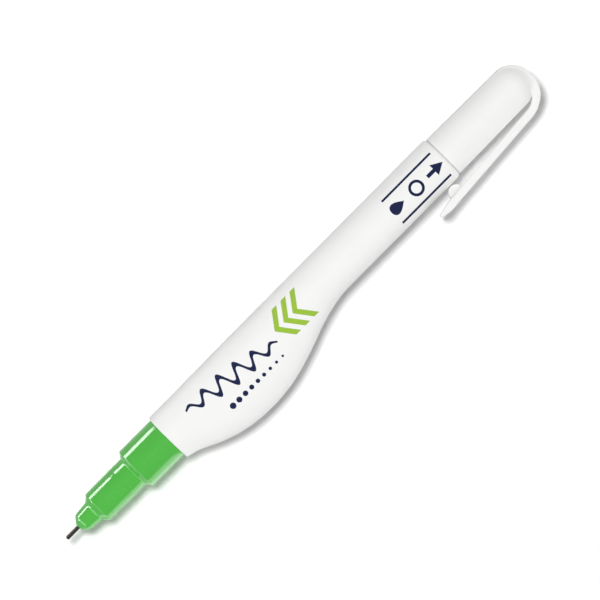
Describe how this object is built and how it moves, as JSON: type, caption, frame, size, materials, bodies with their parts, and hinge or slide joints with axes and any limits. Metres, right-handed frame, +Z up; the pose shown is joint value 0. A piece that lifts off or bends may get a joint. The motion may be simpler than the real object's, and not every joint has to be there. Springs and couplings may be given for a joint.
{
  "type": "correction pen",
  "caption": "Squeeze correction pen: bellied white barrel, green valve nose with a fine metal tip, and a clip cap pushed on the tail.",
  "frame": {"origin": "on the surface the pen lies on, under the middle of its bounding box", "axes": "+X from the writing tip to the capped tail, +Z up from the surface, the belly and the clip on -Y"},
  "size_m": [0.15, 0.0186, 0.0116],
  "materials": {
    "barrel_white": "satin blow-moulded polyethylene",
    "cap_white": "moulded polypropylene",
    "nose_green": "polished moulded polypropylene",
    "tip_steel": "dark drawn tube",
    "wire_steel": "bright drawn wire",
    "ball_steel": "polished ball",
    "inner_plastic": "natural acetal",
    "seal_rubber": "moulded rubber",
    "pad_rubber": "soft pale rubber",
    "ink_navy": "printed ink",
    "ink_green": "printed ink"
  },
  "bodies": {
    "barrel": {"barrel": "barrel_white", "nose": "nose_green", "nose_seal": "seal_rubber", "tip_tube": "tip_steel", "spring_retainer": "inner_plastic", "valve_spring": "wire_steel"},
    "squeeze_panel": {"squeeze_panel": "barrel_white"},
    "valve": {"valve_needle": "wire_steel", "needle_carrier": "inner_plastic"},
    "mixing_ball": {"mixing_ball": "ball_steel"},
    "cap_core": {"cap_seal": "pad_rubber", "tip_pad": "pad_rubber"},
    "cap": {"cap": "cap_white"},
    "clip": {"clip": "cap_white"}
  },
  "joints": [
    {"name": "squeeze", "type": "slide", "parent": "barrel", "child": "squeeze_panel", "axis": [0, 1, 0], "range_m": [0, 0.0018], "stiffness_N_per_m": 3000},
    {"name": "needle_press", "type": "slide", "parent": "barrel", "child": "valve", "axis": [1, 0, 0], "range_m": [0, 0.0004], "stiffness_N_per_m": 500, "springref_m": -0.001, "deforming": ["valve_spring"]},
    {"name": "ball_roll", "type": "slide", "parent": "barrel", "child": "mixing_ball", "axis": [1, 0, 0], "range_m": [-0.0476, 0.03]},
    {"name": "cap_pull", "type": "slide", "parent": "barrel", "child": "cap_core", "axis": [1, 0, 0], "range_m": [0, 0.035]},
    {"name": "cap_turn", "type": "hinge", "parent": "cap_core", "child": "cap", "pos_m": [0.0476, 0.00346, 0.0058], "axis": [1, 0, 0], "continuous": true},
    {"name": "clip_flex", "type": "hinge", "parent": "cap", "child": "clip", "pos_m": [0.06782, -0.00382, 0.0058], "axis": [0, 0, 1], "range_deg": [0, 6], "stiffness_Nm_per_rad": 0.8}
  ]
}
